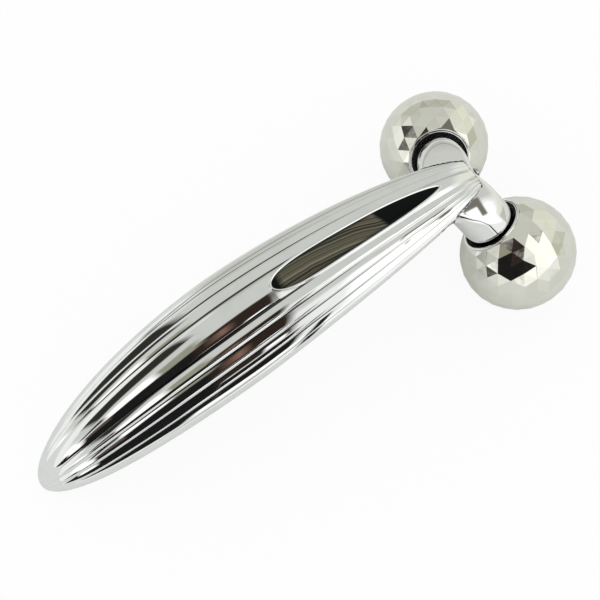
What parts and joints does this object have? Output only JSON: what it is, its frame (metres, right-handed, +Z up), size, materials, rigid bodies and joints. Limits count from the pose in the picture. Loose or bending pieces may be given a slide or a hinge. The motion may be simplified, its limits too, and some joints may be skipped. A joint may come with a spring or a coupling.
{
  "type": "facial toning device",
  "caption": "Curved ribbed chrome handle with a smoked solar window, and a forked neck carrying faceted metal ball rollers that spin on angled axles.",
  "frame": {"origin": "on the resting surface, under the middle of the device's length, on its mirror plane", "axes": "+X along the length towards the rollers, +Y to the left roller, +Z up from the surface the device rests on"},
  "size_m": [0.1802, 0.0798, 0.046],
  "materials": {
    "chrome_plate": "bright neutral plating over moulded plastic and a cast neck",
    "nickel_plate": "warm bright plating on flat facets",
    "smoked_window": "glossy smoked plastic",
    "cell_glass": "dark glossy solar cell",
    "black_plastic": "moulded, matt",
    "steel": "turned and ground",
    "brass": "turned or stamped",
    "red_sleeve": "satin lead sleeve",
    "black_sleeve": "satin lead sleeve"
  },
  "bodies": {
    "handle": {"upper_shell": "chrome_plate", "lower_shell": "chrome_plate", "solar_window": "smoked_window", "yoke": "chrome_plate", "solar_cell": "cell_glass", "cell_carrier": "black_plastic", "carrier_screws": "steel", "counterweight": "steel", "weight_screws": "steel", "neck_screws": "steel", "lead_terminal": "brass", "red_lead": "red_sleeve", "black_lead": "black_sleeve", "contact_spring": "brass", "spring_screw": "steel", "left_axle": "steel", "left_spacer": "black_plastic", "left_washer": "steel", "left_clip": "steel", "right_axle": "steel", "right_spacer": "black_plastic", "right_washer": "steel", "right_clip": "steel"},
    "left_roller": {"left_ball": "nickel_plate", "left_ring": "chrome_plate", "left_hub": "black_plastic", "left_outer_bush": "brass", "left_inner_bush": "brass"},
    "right_roller": {"right_ball": "nickel_plate", "right_ring": "chrome_plate", "right_hub": "black_plastic", "right_outer_bush": "brass", "right_inner_bush": "brass"}
  },
  "joints": [
    {"name": "left_spin", "type": "hinge", "parent": "handle", "child": "left_roller", "pos_m": [0.07263, 0.02246, 0.0175], "axis": [0.3315, 0.6239, -0.7077], "continuous": true},
    {"name": "right_spin", "type": "hinge", "parent": "handle", "child": "right_roller", "pos_m": [0.07263, -0.02246, 0.0175], "axis": [0.3315, -0.6239, -0.7077], "continuous": true}
  ]
}
